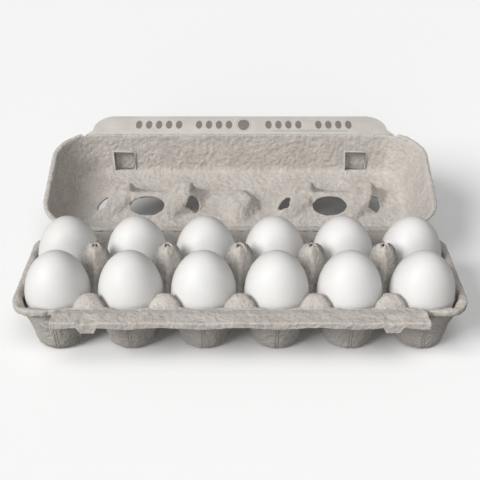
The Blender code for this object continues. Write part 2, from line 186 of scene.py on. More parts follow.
class Recipe:
    """A Principled material under construction."""

    def __init__(self, name: str, settings: dict[str, object]) -> None:
        """Start a material.

        Args:
            name: The material's name.
            settings: Constant values for the shader's own sockets.
        """
        self.material = bpy.data.materials.new(name)
        self.material.use_nodes = True
        self.tree = self.material.node_tree
        self.shader = self.tree.nodes["Principled BSDF"]
        for socket, value in settings.items():
            self.shader.inputs[socket].default_value = value

    def node(self, kind: str, settings: dict[str, object], inputs: dict, output: object = 0) -> Signal:
        """Add a node.

        Args:
            kind: The node's type.
            settings: Its properties, set before its sockets.
            inputs: Values or signals by socket name or place.
            output: The output socket's name or place.

        Returns:
            The chosen output.
        """
        made = self.tree.nodes.new(kind)
        for key, value in settings.items():
            setattr(made, key, value)
        for key, value in inputs.items():
            if isinstance(value, Signal):
                self.tree.links.new(value.socket, made.inputs[key])
            else:
                made.inputs[key].default_value = value
        return Signal(self, made.outputs[output])

    def place(self) -> Signal:
        """Coordinates of the surface in the piece's own space."""
        return self.node("ShaderNodeTexCoord", {}, {}, "Object")

    def noise(self, place: Signal, scale: float, detail: float = 3.0, rough: float = 0.55) -> Signal:
        """Noise value between about 0.3 and 0.7.

        Args:
            place: Coordinates.
            scale: Patches per metre.
            detail: Octaves.
            rough: Strength of the finer octaves.

        Returns:
            The noise.
        """
        inputs = {"Vector": place, "Scale": scale, "Detail": detail, "Roughness": rough}
        return self.node("ShaderNodeTexNoise", {}, inputs)

    def blend(self, factor: object, first: object, second: object) -> Signal:
        """Mix two colours.

        Args:
            factor: 0 for the first, 1 for the second.
            first: A colour or a signal.
            second: A colour or a signal.

        Returns:
            The mixed colour.
        """
        settings = {"data_type": "RGBA", "blend_type": "MIX"}
        return self.node("ShaderNodeMix", settings, {0: factor, 6: first, 7: second}, 2)

    def split(self, vector: Signal) -> tuple[Signal, Signal, Signal]:
        """Take a vector apart into its three numbers."""
        first = self.node("ShaderNodeSeparateXYZ", {}, {0: vector}, 0)
        made = first.socket.node
        return first, Signal(self, made.outputs[1]), Signal(self, made.outputs[2])

    def relief(self, height: Signal, distance: float, strength: float = 1.0) -> None:
        """Feed the shader's normal from a height.

        Args:
            height: Height between 0 and 1.
            distance: What a height of 1 stands for, in metres.
            strength: How far the relief is believed.
        """
        bump = self.node("ShaderNodeBump", {}, {"Strength": strength, "Distance": distance, "Height": height})
        self.feed("Normal", bump)

    def feed(self, socket: str, signal: Signal) -> None:
        """Link a signal to one of the shader's own sockets."""
        self.tree.links.new(signal.socket, self.shader.inputs[socket])


Colour = tuple[float, float, float, float]


@dataclass(frozen=True)
class PulpFinish:
    """Grey-beige recycled paper pulp: matted fibres, flecks and a pitted skin."""

    name: str
    light: Colour = (0.545, 0.512, 0.474, 1.0)
    dark: Colour = (0.420, 0.386, 0.350, 1.0)
    fleck: Colour = (0.205, 0.170, 0.140, 1.0)
    pale_fibre: Colour = (0.640, 0.605, 0.560, 1.0)
    relief: float = 1.8 * MM
    seams: bool = False
    seam_half_gap: float = 0.85 * MM
    seam_core: float = 0.10 * MM
    seam_fade: float = 0.38 * MM
    seam_top_z: float = 33.0 * MM

    def make(self) -> bpy.types.Material:
        """Build the material.

        Returns:
            The finished material.
        """
        recipe = Recipe(self.name, {"Roughness": 0.93, "Specular IOR Level": 0.25, "Sheen Weight": 0.12})
        place = recipe.place()
        cloud = recipe.noise(place, 55.0, 4.0, 0.6)
        grain = recipe.noise(place, 420.0, 4.0, 0.65)
        fibre = recipe.noise(place, 1500.0, 3.0, 0.7)
        tone = (cloud * 0.55 + grain * 0.6).ramp(0.42, 0.74)
        colour = recipe.blend(tone, self.dark, self.light)
        flecks = recipe.noise(place, 780.0, 2.0, 0.5).ramp(0.655, 0.70)
        colour = recipe.blend(flecks * 0.55, colour, self.fleck)
        pale = recipe.noise(place, 610.0, 2.0, 0.5).ramp(0.64, 0.70)
        colour = recipe.blend(pale * 0.45, colour, self.pale_fibre)
        lumps = recipe.noise(place, 290.0, 2.0, 0.5)
        height = lumps * 0.7 + grain * 0.45 + fibre * 0.16
        if self.seams:
            seam = self._seam(recipe, place)
            colour = recipe.blend(seam * 0.28, colour, self.pale_fibre)
            height = height + seam * 0.35
        recipe.feed("Base Color", colour)
        recipe.feed("Roughness", 0.86 + grain * 0.16)
        recipe.relief(height, self.relief)
        return recipe.material

    def _seam(self, recipe: Recipe, place: Signal) -> Signal:
        """Pairs of fine upright mould lines down the middle of each cup.

        Args:
            recipe: The material under construction.
            place: Coordinates on the tray.

        Returns:
            One on the lines, nothing elsewhere.
        """
        across, _, up = recipe.split(place)
        pitch = Tray().pitch_x
        offset = ((across / pitch).fraction() - 0.5) * pitch
        from_line = abs(abs(offset) - self.seam_half_gap)
        line = 1.0 - from_line.ramp(self.seam_core, self.seam_fade)
        return line * (up < self.seam_top_z)


@dataclass(frozen=True)
class ShellFinish:
    """White eggshell: fine pores, a soft sheen and a faint warm cast."""

    name: str
    white: Colour = (0.672, 0.666, 0.655, 1.0)
    warm: Colour = (0.648, 0.637, 0.622, 1.0)

    def make(self) -> bpy.types.Material:
        """Build the material.

        Returns:
            The finished material.
        """
        settings = {
            "Roughness": 0.48, "Specular IOR Level": 0.38,
            "Subsurface Weight": 0.10, "Subsurface Scale": 2.0 * MM,
        }
        recipe = Recipe(self.name, settings)
        place = recipe.place()
        cloud = recipe.noise(place, 38.0, 3.0)
        pores = recipe.noise(place, 1900.0, 2.0, 0.6)
        colour = recipe.blend(cloud.ramp(0.38, 0.68), self.white, self.warm)
        recipe.feed("Base Color", colour)
        recipe.feed("Roughness", 0.42 + pores * 0.16)
        recipe.relief(pores * 0.7 + recipe.noise(place, 420.0) * 0.3, 0.05 * MM)
        return recipe.material


@dataclass(frozen=True)
class PrintFinish:
    """Smooth pressed pulp with plain dark shapes printed on its inner face.

    The pattern follows the piece's own UV map, in metres along and across.
    """

    name: str
    light: Colour = (0.551, 0.527, 0.489, 1.0)
    dark: Colour = (0.492, 0.466, 0.427, 1.0)
    ink: Colour = (0.165, 0.150, 0.135, 1.0)
    mark_pitch: float = 8.3 * MM
    mark_half_width: float = 2.7 * MM
    mark_half_height: float = 5.0 * MM
    left_start: float = -88.0 * MM
    left_counts: tuple[int, ...] = (5, 4)
    right_start: float = 19.5 * MM
    right_counts: tuple[int, ...] = (4, 4)
    rule_x: float = 58.0 * MM
    rule_half_length: float = 31.0 * MM
    rule_y: float = 7.6 * MM
    rule_half_width: float = 0.35 * MM
    crest_x: float = 3.0 * MM
    crest_y: float = 0.2 * MM
    crest_half_x: float = 4.9 * MM
    crest_half_y: float = 6.6 * MM
    crest_taper: float = 0.09
    ring_reach: float = 1.45

    def make(self) -> bpy.types.Material:
        """Build the material.

        Returns:
            The finished material.
        """
        recipe = Recipe(self.name, {"Roughness": 0.85, "Specular IOR Level": 0.25})
        place = recipe.place()
        cloud = recipe.noise(place, 70.0, 3.0)
        grain = recipe.noise(place, 700.0, 3.0)
        colour = recipe.blend(cloud.ramp(0.35, 0.7), self.light, self.dark)
        along, across, _ = recipe.split(recipe.node("ShaderNodeUVMap", {"uv_map": "print"}, {}))
        ink = self._row(along, across, self.left_start, self.left_counts)
        ink = ink.most(self._row(along, across, self.right_start, self.right_counts))
        ink = ink.most(self._crest(along, across))
        rule = abs(across + self.rule_y) < self.rule_half_width
        rule = rule * (abs(along - self.rule_x) < self.rule_half_length)
        ink = ink.most(rule * 0.7)
        worn = recipe.noise(place, 900.0, 2.0).ramp(0.30, 0.46)
        colour = recipe.blend(ink * (0.70 + worn * 0.22), colour, self.ink)
        recipe.feed("Base Color", colour)
        recipe.feed("Roughness", 0.78 + grain * 0.14)
        recipe.relief(grain * 0.7 + cloud * 0.3, 0.22 * MM)
        return recipe.material

    def _row(self, along: Signal, across: Signal, start: float, counts: Iterable[int]) -> Signal:
        """Groups of small upright ovals in one row.

        Args:
            along: Place along the strip.
            across: Place across the strip.
            start: Where the row starts along the strip.
            counts: How many ovals are in each group.

        Returns:
            One on the ovals, nothing elsewhere.
        """
        steps = (along - start) / self.mark_pitch
        offset = (steps.fraction() - 0.5) * (self.mark_pitch / self.mark_half_width)
        upright = across / self.mark_half_height
        oval = 1.0 - (offset * offset + upright * upright).ramp(0.85, 1.15)
        groups = None
        first = 0
        for count in counts:
            last = first + count
            inside = (steps > float(first)) * (steps < float(last))
            groups = inside if groups is None else groups.most(inside)
            first = last + 1
        return oval * groups

    def _crest(self, along: Signal, across: Signal) -> Signal:
        """A larger plain egg with a ring about it, between the two rows.

        Args:
            along: Place along the strip.
            across: Place across the strip.

        Returns:
            One on the shapes, nothing elsewhere.
        """
        egg_x = (along - self.crest_x) / (self.crest_half_x + across * self.crest_taper)
        egg_y = (across + self.crest_y) / self.crest_half_y
        reach = egg_x * egg_x + egg_y * egg_y
        ring = 1.0 - abs(reach - self.ring_reach).ramp(0.05, 0.12)
        return (1.0 - reach.ramp(0.9, 1.08)).most(ring * 0.6)


# --------------------------------------------------------------------------- shared shapes


def blend_low(first: float, second: float, reach: float) -> float:
    """Smaller of two heights, rounded where they meet.

    Args:
        first: One height.
        second: The other height.
        reach: Difference of height over which they blend.

    Returns:
        The rounded minimum.
    """
    share = min(1.0, max(0.0, 0.5 + 0.5 * (second - first) / reach))
    return second + (first - second) * share - reach * share * (1.0 - share)


def blend_high(first: float, second: float, reach: float) -> float:
    """Greater of two heights, rounded where they meet."""
    return -blend_low(-first, -second, reach)


def step(low: float, high: float, value: float) -> float:
    """Smooth step from 0 at low to 1 at high."""
    share = min(1.0, max(0.0, (value - low) / (high - low)))
    return share * share * (3.0 - 2.0 * share)


def read_profile(profile: tuple[tuple[float, float], ...], reach: float) -> float:
    """Read a height off a profile of (distance, height) pairs in millimetres.

    Args:
        profile: The pairs, by growing distance.
        reach: Distance in metres.

    Returns:
        The height in metres.
    """
    place = reach / MM
    for (near, low), (far, high) in zip(profile, profile[1:]):
        if place <= far:
            return (low + (high - low) * (place - near) / (far - near)) * MM
    return profile[-1][1] * MM


def to_arc(across: float, along: float) -> tuple[float, float]:
    """Turn a place in a square corner zone into its place in a quarter disc."""
    reach = max(across, along)
    if reach <= 0.0:
        return across, along
    if across >= along:
        angle = math.pi / 4 * along / across
    else:
        angle = math.pi / 2 - math.pi / 4 * across / along
    return reach * math.cos(angle), reach * math.sin(angle)


@dataclass(frozen=True)
class Outline:
    """A rounded rectangle about the origin."""

    half_x: float
    half_y: float
    radius: float

    def rounded(self, x: float, y: float) -> tuple[float, float]:
        """Pull a place near a corner of the full rectangle inside the rounded one."""
        dx = abs(x) - (self.half_x - self.radius)
        dy = abs(y) - (self.half_y - self.radius)
        if dx <= 0.0 or dy <= 0.0:
            return x, y
        dx, dy = to_arc(dx, dy)
        new_x = math.copysign(self.half_x - self.radius + dx, x)
        return new_x, math.copysign(self.half_y - self.radius + dy, y)

    def outward(self, x: float, y: float) -> Vector:
        """Outward direction at a place on the outline."""
        dx = max(0.0, abs(x) - (self.half_x - self.radius))
        dy = max(0.0, abs(y) - (self.half_y - self.radius))
        if dx > 0.0 and dy > 0.0:
            return Vector((math.copysign(dx, x), math.copysign(dy, y), 0.0)).normalized()
        if self.half_x - abs(x) < self.half_y - abs(y):
            return Vector((math.copysign(1.0, x), 0.0, 0.0))
        return Vector((0.0, math.copysign(1.0, y), 0.0))


def other_face(height: Callable[[float, float], float], x: float, y: float, sheet: float, side: int) -> float:
    """Height of a sheet's other face above or below height(x, y).

    Args:
        height: Height of the known face.
        x: Place across.
        y: Place along.
        sheet: Thickness.
        side: 1 for the face above, -1 for the face below.

    Returns:
        The other face's height.
    """
    best = height(x, y) + side * sheet
    for reach in (0.5, 0.85):
        lift = side * sheet * math.sqrt(1.0 - reach * reach)
        for turn in range(10):
            angle = math.tau * turn / 10
            near = height(x + reach * sheet * math.cos(angle), y + reach * sheet * math.sin(angle)) + lift
            best = max(best, near) if side > 0 else min(best, near)
    return best


Placing = Callable[[Vector], tuple[Vector, Vector]]


class Sheet:
    """A sheet of pulp that grows outwards, each vertex knowing its partner's place."""

    def __init__(self) -> None:
        """Start empty."""
        self.mesh = bmesh.new()
        self.partner = self.mesh.verts.layers.float_vector.new("partner")
        self.seat = self.mesh.verts.layers.float_vector.new("seat")

    def grid(self, count_x: int, count_y: int, place: Callable[[float, float], Placing]) -> None:
        """Add a grid patch.

        Args:
            count_x: Faces across.
            count_y: Faces along.
            place: Gives (face, partner, seat) for a place in -1..1 by -1..1.
        """
        made = bmesh.ops.create_grid(self.mesh, x_segments=count_x, y_segments=count_y, size=1.0)
        for vert in made["verts"]:
            vert.co, vert[self.partner], vert[self.seat] = place(vert.co.x, vert.co.y)

    def weld(self) -> None:
        """Join patches along their shared edges."""
        bmesh.ops.remove_doubles(self.mesh, verts=self.mesh.verts[:], dist=0.02 * MM)

    def extend(self, place: Placing) -> None:
        """Grow a ring of faces off the open edge; place(seat) gives both faces' places."""
        edges = [edge for edge in self.mesh.edges if edge.is_boundary]
        grown = bmesh.ops.extrude_edge_only(self.mesh, edges=edges)
        for item in grown["geom"]:
            if isinstance(item, bmesh.types.BMVert):
                item.co, item[self.partner] = place(item[self.seat])

    def close(self) -> bmesh.types.BMesh:
        """Give the sheet its other face.

        Returns:
            The closed mesh.
        """
        grown = bmesh.ops.extrude_face_region(self.mesh, geom=self.mesh.faces[:], use_keep_orig=True)
        for item in grown["geom"]:
            if isinstance(item, bmesh.types.BMVert):
                item.co = item[self.partner]
        bmesh.ops.recalc_face_normals(self.mesh, faces=self.mesh.faces[:])
        return self.mesh


@dataclass(frozen=True)
class Roughening:
    """Lumps that the mould's mesh and the drying leave in a pulp surface."""

    coarse_size: float = 5.5 * MM
    coarse_rise: float = 0.22 * MM
    fine_size: float = 1.9 * MM
    fine_rise: float = 0.16 * MM

    def apply(self, mesh: bmesh.types.BMesh) -> None:
        """Move each vertex a little along its normal.

        Args:
            mesh: The mesh to roughen.
        """
        mesh.normal_update()
        for vert in mesh.verts:
            coarse = noise.noise(vert.co / self.coarse_size)
            fine = noise.noise(vert.co / self.fine_size)
            vert.co += vert.normal * (coarse * self.coarse_rise + fine * self.fine_rise)


def cut(mesh: bmesh.types.BMesh, cutters: bmesh.types.BMesh) -> bmesh.types.BMesh:
    """Cut closed shapes out of a mesh.

    Args:
        mesh: The mesh to cut, which is used up.
        cutters: The closed shapes, which are used up.

    Returns:
        The cut mesh.
    """
    pair = []
    for name, source in (("target", mesh), ("cutters", cutters)):
        data = bpy.data.meshes.new(name)
        source.to_mesh(data)
        source.free()
        pair.append(bpy.data.objects.new(name, data))
        bpy.context.collection.objects.link(pair[-1])
    target, tools = pair
    change = target.modifiers.new("cut", "BOOLEAN")
    change.operation = "DIFFERENCE"
    change.solver = "EXACT"
    change.object = tools
    graph = bpy.context.evaluated_depsgraph_get()
    result = bmesh.new()
    result.from_mesh(target.evaluated_get(graph).to_mesh())
    for leftover in pair:
        data = leftover.data
        bpy.data.objects.remove(leftover, do_unlink=True)
        bpy.data.meshes.remove(data)
    return result


@dataclass(frozen=True)
class Stance:
    """Where the tray stands in the frame, and how far the lid is open."""

    hinge: Vector
    angle: float
    shift: Vector

    def settle(self, mesh: bmesh.types.BMesh) -> None:
        """Move a shape from the tray's own place to the frame's."""
        bmesh.ops.translate(mesh, verts=mesh.verts[:], vec=self.shift)

    def open_out(self, mesh: bmesh.types.BMesh) -> None:
        """Turn a shut shape back about the lid's hinge, then settle it."""
        turn = Matrix.Rotation(-self.angle, 3, "X")
        bmesh.ops.rotate(mesh, verts=mesh.verts[:], cent=self.hinge, matrix=turn)
        self.settle(mesh)


@dataclass(frozen=True)
class Piece:
    """A finished visible piece."""

    name: str
    body: Body
    slot: Slot
    replaces: tuple[str, ...] = ()

    def place(self, mesh: bmesh.types.BMesh, finish: bpy.types.Material) -> bpy.types.Object:
        """Make the object inside the CAD's box, dress it and tie it to its body.

        Args:
            mesh: Its shape in the frame's own place, used up.
            finish: Its material.

        Returns:
            The object.
        """
        low, high = START_BOX
        for vert in mesh.verts:
            vert.co = [min(high[axis], max(low[axis], vert.co[axis])) for axis in range(3)]
        data = bpy.data.meshes.new(self.name)
        mesh.to_mesh(data)
        mesh.free()
        data.materials.append(finish)
        data.polygons.foreach_set("use_smooth", [True] * len(data.polygons))
        made = bpy.data.objects.new(self.name, data)
        bpy.context.collection.objects.link(made)
        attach(made, self.body.value)
        if self.replaces:
            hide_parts(*self.replaces)
        LOG.info("%s rides %s: %d faces", self.name, self.body.value, len(data.polygons))
        return made


# --------------------------------------------------------------------------- sub-assemblies


@dataclass(frozen=True)
class Tray:
    """Two rows of six cups with posts between them, in one sheet."""

    columns: int = 6
    rows: int = 2
    pitch_x: float = 48.6 * MM
    pitch_y: float = 46.8 * MM
    sheet: float = 1.8 * MM
    rim_z: float = 38.5 * MM
    saddle_z: float = 29.0 * MM
    cup_profile: tuple[tuple[float, float], ...] = (
        (0.0, 1.8), (12.2, 1.8), (13.9, 2.6), (14.9, 4.4), (15.8, 7.8), (16.8, 13.0), (17.6, 17.0),
        (18.3, 20.0), (19.9, 23.2), (21.6, 27.2), (22.9, 34.5), (23.7, 40.0), (24.6, 50.0),
        (25.6, 62.0), (90.0, 400.0),
    )
    ring_share: float = 0.86
    ring_radius: float = 22.6 * MM
    post_profile: tuple[tuple[float, float], ...] = (
        (0.0, 60.3), (3.6, 60.3), (5.6, 59.0), (7.6, 56.0), (9.4, 50.0), (10.9, 43.0), (12.6, 36.0),
        (14.5, 29.0), (90.0, 0.0),
    )
    hole_radius: float = 2.2 * MM
    hole_y: float = -0.6 * MM
    hole_z: float = 59.0 * MM
    hole_length: float = 9.0 * MM
    hump_y: float = -40.0 * MM
    hump_half_x: float = 11.4 * MM
    hump_half_y: float = 6.6 * MM
    hump_rise: float = 6.9 * MM
    end_hump_half_x: float = 8.5 * MM
    end_hump_half_y: float = 10.5 * MM
    end_hump_x: float = 134.5 * MM
    end_hump_rise: float = 7.0 * MM
    hump_round: float = 0.62
    hump_fall: float = 12.0 * MM
    rim_inset: float = 2.5 * MM
    rim_fall: float = 1.4
    post_blend: float = 2.0 * MM
    hump_blend: float = 1.2 * MM
    bowl_blend: float = 2.2 * MM
    corner: float = 14.0 * MM
    flange: float = 2.7 * MM
    flange_taper: float = 3.0 * MM
    front_flange: float = 1.6 * MM
    front_half_x: float = 122.5 * MM
    rear_flange: float = 8.2 * MM
    rear_half_x: float = 126.0 * MM
    lip_drop: float = 4.0 * MM
    lip_thickness: float = 0.85
    lip_round: float = 0.9 * MM
    lip_chamfer: float = 0.25 * MM
    lip_step: float = 0.5 * MM
    lip_under: float = 2.1 * MM
    lip_under_low: float = 2.3 * MM
    lip_rings: int = 4
    rough: Roughening = Roughening(4.6 * MM, 0.30 * MM, 2.3 * MM, 0.26 * MM)
    hinge_y: float = 55.4 * MM
    hinge_z: float = 38.75 * MM
    egg_lean: float = 0.994
    grid: int = 44

    @property
    def outline(self) -> Outline:
        """Outline through the outer edges of the cups."""
        return Outline(self.pitch_x * self.columns / 2, self.pitch_y * self.rows / 2, self.corner)

    def dome(self, dx: float, dy: float, half_x: float, half_y: float, rise: float) -> float:
        """Height of a rounded hump standing on the rim's level.

        Args:
            dx: Place across from its middle.
            dy: Place along from its middle.
            half_x: Half its width.
            half_y: Half its length.
            rise: Height above the rim.

        Returns:
            Its height, falling away steeply beyond its foot.
        """
        inside = 1.0 - (dx / half_x) ** 2 - (dy / half_y) ** 2
        if inside <= 0.0:
            return self.rim_z + self.hump_fall * inside
        return self.rim_z + rise * inside ** self.hump_round

    def height(self, x: float, y: float) -> float:
        """Height of the sheet's upper face."""
        column = min(self.columns - 1, max(0, math.floor(x / self.pitch_x + self.columns / 2)))
        cup_x = x - (column - (self.columns - 1) / 2) * self.pitch_x
        cup_y = abs(y) - self.pitch_y / 2
        reach = math.hypot(cup_x, cup_y)
        bowl = read_profile(self.cup_profile, reach)
        edge = self.outline
        inset = min(edge.half_x - abs(x), edge.half_y - abs(y))
        cover = max(self.saddle_z, min(self.rim_z, self.rim_z - (inset - self.rim_inset) * self.rim_fall))
        gap = min(self.columns // 2 - 1, max(1 - self.columns // 2, round(x / self.pitch_x)))
        post_x = x - gap * self.pitch_x
        post = read_profile(self.post_profile, abs(post_x) + abs(y))
        cover = blend_high(cover, post, self.post_blend)
        hump = self.dome(post_x, y - self.hump_y, self.hump_half_x, self.hump_half_y, self.hump_rise)
        cover = blend_high(cover, hump, self.hump_blend)
        end = self.dome(abs(x) - self.end_hump_x, y, self.end_hump_half_x, self.end_hump_half_y,
                        self.end_hump_rise)
        cover = blend_high(cover, end, self.hump_blend)
        return blend_low(bowl, cover, self.bowl_blend)

    def cup_patch(self, column: int, row: int) -> Callable[[float, float], tuple]:
        """Placing rule for the grid patch of one cup.

        Args:
            column: Its column.
            row: Its row.

        Returns:
            A function of the grid place.
        """
        centre_x = (column - (self.columns - 1) / 2) * self.pitch_x
        centre_y = (row - (self.rows - 1) / 2) * self.pitch_y
        outline = self.outline

        def place(across: float, along: float) -> tuple[Vector, Vector, Vector]:
            """Both faces' places and the seat for one grid vertex."""
            size = max(abs(across), abs(along))
            square_x = across * self.pitch_x / 2
            square_y = along * self.pitch_y / 2
            arc_x, arc_y = to_arc(abs(across), abs(along))
            radius = self.ring_radius * min(1.0, size / self.ring_share)
            round_x = math.copysign(arc_x / size * radius, across) if size else 0.0
            round_y = math.copysign(arc_y / size * radius, along) if size else 0.0
            share = min(1.0, max(0.0, (size - self.ring_share) / (1.0 - self.ring_share)))
            x = centre_x + round_x + (square_x - round_x) * share
            y = centre_y + round_y + (square_y - round_y) * share
            x, y = outline.rounded(x, y)
            face = Vector((x, y, self.height(x, y)))
            partner = Vector((x, y, other_face(self.height, x, y, self.sheet, -1)))
            return face, partner, Vector((x, y, 0.0))

        return place

    def flange_ring(self, back: float, drop: float, under_back: float, under_drop: float) -> Placing:
        """Placing rule for one ring of the flange and its lip.

        Args:
            back: Distance in from the flange's outer edge.
            drop: Distance down from the rim.
            under_back: The same for the partner.
            under_drop: The same for the partner.

        Returns:
            The placing rule.
        """
        outline = self.outline

        def place(seat: Vector) -> tuple[Vector, Vector]:
            """Both faces' places outward of a seat."""
            way = outline.outward(seat.x, seat.y)
            width = self.flange
            if way.y < -FACING:
                share = step(self.front_half_x, self.front_half_x + self.flange_taper, abs(seat.x))
                width = self.front_flange + (self.flange - self.front_flange) * share
            if way.y > FACING:
                share = step(self.rear_half_x, self.rear_half_x + self.flange_taper, abs(seat.x))
                width = self.rear_flange + (self.flange - self.rear_flange) * share
            base = Vector((seat.x, seat.y, self.rim_z))
            upper = base + way * max(0.2 * MM, width - back) - Vector((0.0, 0.0, drop))
            lower = base + way * max(0.1 * MM, width - under_back) - Vector((0.0, 0.0, under_drop))
            return upper, lower

        return place

    def build(self, stance: Stance, finish: bpy.types.Material) -> None:
        """Build and dress the tray.

        Args:
            stance: Where the tray stands.
            finish: Its material.
        """
        sheet = Sheet()
        for column in range(self.columns):
            for row in range(self.rows):
                sheet.grid(self.grid, self.grid, self.cup_patch(column, row))
        sheet.weld()
        inner = self.sheet * self.lip_thickness
        rings = [(self.lip_round, 0.0, inner + self.lip_step, self.sheet),
                 (self.lip_chamfer, self.lip_chamfer, inner, self.lip_under)]
        for part in range(self.lip_rings):
            levels = [start + (self.lip_drop - start) * part / (self.lip_rings - 1)
                      for start in (self.lip_round, self.lip_under_low)]
            rings.append((0.0, levels[0], inner, levels[1]))
        for ring in rings:
            sheet.extend(self.flange_ring(*ring))
        holes = bmesh.new()
        for gap in range(1 - self.columns // 2, self.columns // 2):
            centre = Matrix.Translation((gap * self.pitch_x, self.hole_y, self.hole_z))
            bmesh.ops.create_cone(
                holes, cap_ends=True, segments=14, radius1=self.hole_radius,
                radius2=self.hole_radius, depth=self.hole_length, matrix=centre)
        mesh = cut(sheet.close(), holes)
        self.rough.apply(mesh)
        for vert in mesh.verts:
            vert.co.z = max(vert.co.z, 0.0)
        stance.settle(mesh)
        Piece("tray_pulp", Body.TRAY, Slot.PULP, ("tray",)).place(mesh, finish)


@dataclass(frozen=True)
class Lid:
    """The lid, shaped as if shut and then turned back about its hinge."""

    rim_z: float = 39.0 * MM
    depth: float = 32.6 * MM
    sheet: float = 1.8 * MM
    panel: Outline = Outline(128.5 * MM, 38.0 * MM, 14.0 * MM)
    reach_x: float = 18.1 * MM
    reach_y: float = 13.3 * MM
    flange_x: float = 3.6 * MM
    flange_y: float = 2.0 * MM
    hinge_strip: float = 1.7 * MM
    fillet_drop: float = 5.0 * MM
    fillet_share: float = 0.2
    fillet_x: float = 0.167
    fillet_y: float = 0.2185
    wall_end: float = 0.97
    slope_reach: float = 0.02
    front_raise: float = 2.1 * MM
    front_half_x: float = 126.0 * MM
    front_fade_in: float = 2.0 * MM
    front_fade_out: float = 1.0 * MM
    boss_x: float = 72.9 * MM
    boss_half_y: float = 17.0 * MM
    peak_x: float = 24.3 * MM
    peak_half_x: float = 6.6 * MM
    peak_depth: float = 10.7 * MM
    peak_near_y: float = 4.0 * MM
    peak_side_run: float = 12.2 * MM
    peak_slant: float = 0.30
    foot_slant: float = 0.90
    ridge_y: float = -10.2 * MM
    ridge_half_y: float = 1.9 * MM
    ridge_half_x: float = 5.6 * MM
    ridge_ramp: float = 3.4 * MM
    ridge_run: float = 5.0 * MM
    ridge_rise: float = 5.2 * MM
    ridge_side: float = 3.0 * MM
    groove_depth: float = 2.0 * MM
    groove_left: tuple[float, float] = (-5.6 * MM, -4.9 * MM)
    groove_right: tuple[float, float] = (0.2 * MM, 0.9 * MM)
    groove_far: tuple[float, float] = (-8.6 * MM, -7.9 * MM)
    groove_near: tuple[float, float] = (-5.6 * MM, -4.9 * MM)
    saddle_depth: float = 10.6 * MM
    saddle_near_run: float = 22.0 * MM
    saddle_far_run: float = 11.5 * MM
    saddle_end_run: float = 8.0 * MM
    boss_blend: float = 1.0 * MM
    bump_depth: float = 9.0 * MM
    bump_reach: float = 16.6 * MM
    bump_run: float = 8.4 * MM
    bump_blend: float = 0.8 * MM
    bump_squeeze: float = 0.94
    bump_corner: float = 0.76
    oval_shift: float = 1.0 * MM
    oval_half_x: float = 13.8 * MM
    oval_half_run: float = 8.2 * MM
    oval_length: float = 10.0 * MM
    oval_depth: float = 5.7 * MM
    end_oval_x: float = 36.9 * MM
    end_oval_length: float = 9.0 * MM
    end_oval_depth: float = 5.4 * MM
    end_oval_y: float = 2.4 * MM
    end_oval_half_y: float = 6.8 * MM
    end_oval_half_run: float = 6.4 * MM
    window_x: float = 96.0 * MM
    window_half: float = 8.2 * MM
    window_low_z: float = 55.6 * MM
    window_high_z: float = 71.0 * MM
    window_cut: float = 19.0 * MM
    window_cut_y: float = -46.5 * MM
    collar: tuple[float, float, float] = (1.5 * MM, -0.1 * MM, 1.1 * MM)
    back: tuple[float, float, float] = (3.4 * MM, 5.4 * MM, 1.4 * MM)
    wall_slope: float = math.radians(17.7)
    cell: float = 1.15 * MM
    wall_rings: int = 24
    rough: Roughening = Roughening(4.4 * MM, 0.42 * MM, 2.5 * MM, 0.30 * MM)

    def peak(self, aside: float, y: float) -> float:
        """How far one peak of a boss stands into the lid.

        Args:
            aside: Place across from the peak's middle, along its slant.
            y: Place along, less than 0 towards the lid's front wall.

        Returns:
            The depth, less than 0 beyond its foot.
        """
        beyond = max(0.0, abs(aside) - self.peak_half_x) / self.peak_side_run
        near = max(0.0, y - self.peak_near_y) / (self.boss_half_y - self.peak_near_y)
        far = 1.0 - max(0.0, self.ridge_y - self.ridge_half_y - y) / self.ridge_run
        start = self.ridge_y + self.ridge_half_y
        ridge = min(1.0, max(0.0, (start + self.ridge_ramp - y) / self.ridge_ramp))
        ridge *= min(1.0, max(0.0, 1.0 - (abs(aside) - self.ridge_half_x) / self.ridge_side))
        groove = min(step(*self.groove_left, aside), 1.0 - step(*self.groove_right, aside))
        groove *= min(step(*self.groove_far, y), 1.0 - step(*self.groove_near, y))
        top = self.peak_depth + self.ridge_rise * ridge - self.groove_depth * groove
        return top * blend_low(blend_low(1.0 - beyond - near, 1.0, 0.06), far, 0.08)

    def boss(self, x: float, y: float) -> float:
        """How far the bosses stand into the lid at a place on its panel."""
        aside = x - math.copysign(self.boss_x, x)
        slanted = aside + self.peak_slant * y + self.foot_slant * max(0.0, y - self.peak_near_y)
        peaks = max(self.peak(slanted - self.peak_x, y), self.peak(slanted + self.peak_x, y))
        near = (self.boss_half_y - y) / self.saddle_near_run
        far = (self.boss_half_y + y) / self.saddle_far_run
        end = (self.peak_x + self.saddle_end_run - abs(slanted)) / self.saddle_end_run
        saddle = self.saddle_depth * blend_low(blend_low(near, far, 0.1), blend_low(end, 1.0, 0.05), 0.08)
        boss = blend_high(peaks, saddle, self.boss_blend)
        reach = max(abs(x), abs(y) * self.bump_squeeze, (abs(x) + abs(y)) * self.bump_corner)
        bump = self.bump_depth * blend_low((self.bump_reach - reach) / self.bump_run, 1.0, 0.12)
        return blend_high(blend_high(boss, bump, self.bump_blend), 0.0, self.boss_blend)

    def panel_height(self, x: float, y: float) -> float:
        """Height of the shut lid's inner face over the panel."""
        return self.rim_z + self.depth - self.boss(x, y)

    def panel_patch(self, across: float, along: float) -> tuple[Vector, Vector, Vector]:
        """Both faces' places and the seat for one vertex of the panel's grid."""
        x, y = self.panel.rounded(across * self.panel.half_x, along * self.panel.half_y)
        face = Vector((x, y, self.panel_height(x, y)))
        partner = Vector((x, y, other_face(self.panel_height, x, y, self.sheet, 1)))
        return face, partner, Vector((x, y, 0.0))

